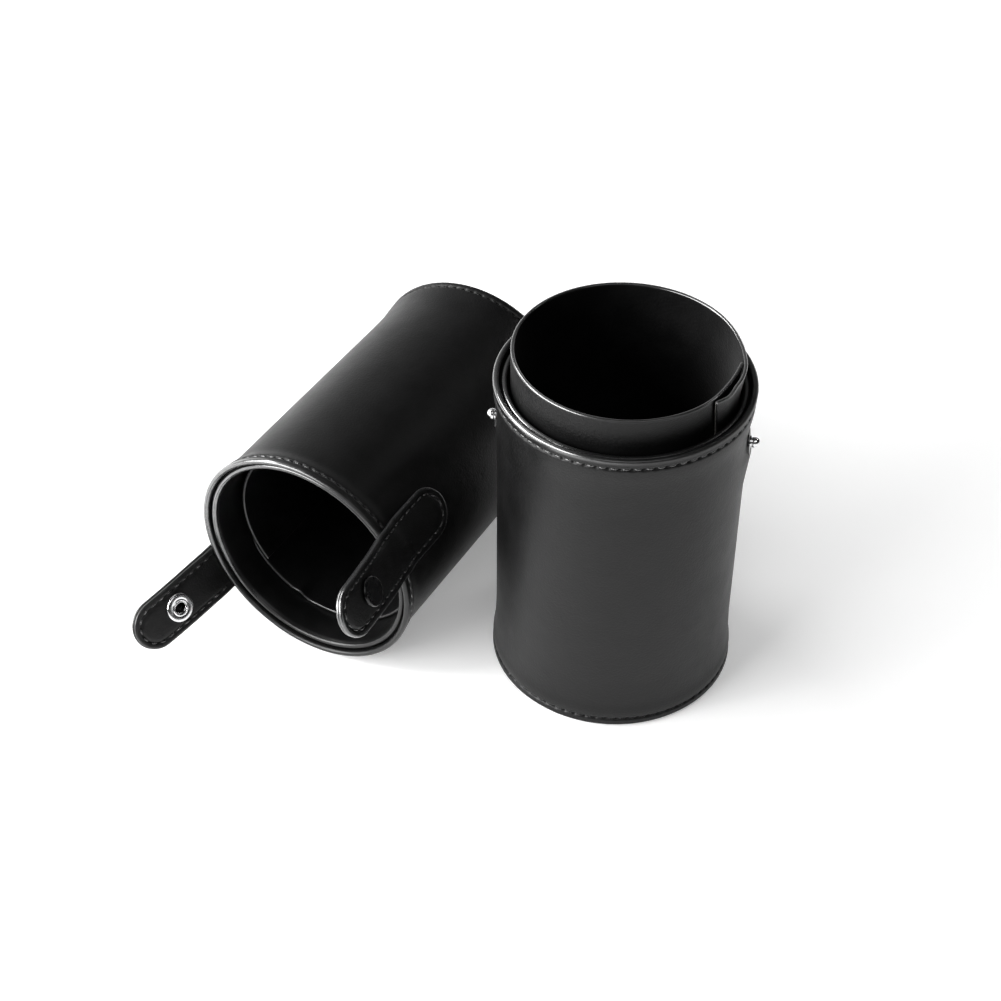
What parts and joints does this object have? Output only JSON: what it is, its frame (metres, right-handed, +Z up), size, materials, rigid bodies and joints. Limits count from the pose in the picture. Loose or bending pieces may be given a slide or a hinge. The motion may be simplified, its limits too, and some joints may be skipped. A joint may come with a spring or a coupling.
{
  "type": "leather dice cup with lid",
  "caption": "Stitched leather cup with a proud inner collar and ball studs, beside a matching lid on its side with two straps that fasten to the studs.",
  "frame": {"origin": "centre of the cup's underside, on the surface that the cup stands on", "axes": "+Z up along the cup's axis, +X through the right ball stud, +Y away from the front"},
  "size_m": [0.1971, 0.1711, 0.1238],
  "materials": {
    "wall_leather": "black fine-grained leatherette, satin",
    "strap_leather": "black grained leatherette, satin, turned edges",
    "sleeve_leather": "smooth black leatherette sheet",
    "lining_leather": "matt black lining",
    "wall_board": "grey board",
    "seam_thread": "black waxed thread",
    "snap_metal": "polished nickel plate",
    "cap_enamel": "black gloss enamel"
  },
  "bodies": {
    "cup": {"cup_board": "wall_board", "cup_base_board": "wall_board", "cup_skin": "wall_leather", "cup_base_skin": "wall_leather", "cup_lining": "lining_leather", "cup_floor_pad": "lining_leather", "cup_collar": "sleeve_leather", "cup_rim_thread": "seam_thread", "cup_foot_thread": "seam_thread", "left_stud": "snap_metal", "left_stud_rivet": "snap_metal", "right_stud": "snap_metal", "right_stud_rivet": "snap_metal"},
    "lid": {"lid_board": "wall_board", "lid_end_board": "wall_board", "lid_skin": "wall_leather", "lid_end_skin": "wall_leather", "lid_lining": "lining_leather", "lid_end_pad": "lining_leather", "lid_sleeve": "sleeve_leather", "lid_mouth_thread": "seam_thread", "lid_end_thread": "seam_thread", "left_strap_sewn_outer": "strap_leather", "left_strap_sewn_lining": "lining_leather", "left_strap_sewn_thread": "seam_thread", "right_strap_sewn_outer": "strap_leather", "right_strap_sewn_lining": "lining_leather", "right_strap_sewn_thread": "seam_thread"},
    "left_strap": {"left_strap_outer": "strap_leather", "left_strap_lining": "lining_leather", "left_strap_thread": "seam_thread", "left_snap_cap": "cap_enamel", "left_snap_socket": "snap_metal", "left_snap_spring": "snap_metal"},
    "right_strap": {"right_strap_outer": "strap_leather", "right_strap_lining": "lining_leather", "right_strap_thread": "seam_thread", "right_snap_cap": "cap_enamel", "right_snap_socket": "snap_metal", "right_snap_spring": "snap_metal"}
  },
  "joints": [
    {"name": "lid_lift", "type": "slide", "parent": "cup", "child": "lid", "axis": [0, 0, 1], "range_m": [0, 0.25]},
    {"name": "left_strap_bend", "type": "hinge", "parent": "lid", "child": "left_strap", "pos_m": [-0.13471, -0.01098, 0.02027], "axis": [0.4527, -0.1603, -0.8771], "range_deg": [-70, 40], "stiffness_Nm_per_rad": 0.03},
    {"name": "right_strap_bend", "type": "hinge", "parent": "lid", "child": "right_strap", "pos_m": [-0.06609, -0.03528, 0.06013], "axis": [-0.4527, 0.1603, 0.8771], "range_deg": [-70, 40], "stiffness_Nm_per_rad": 0.03}
  ]
}
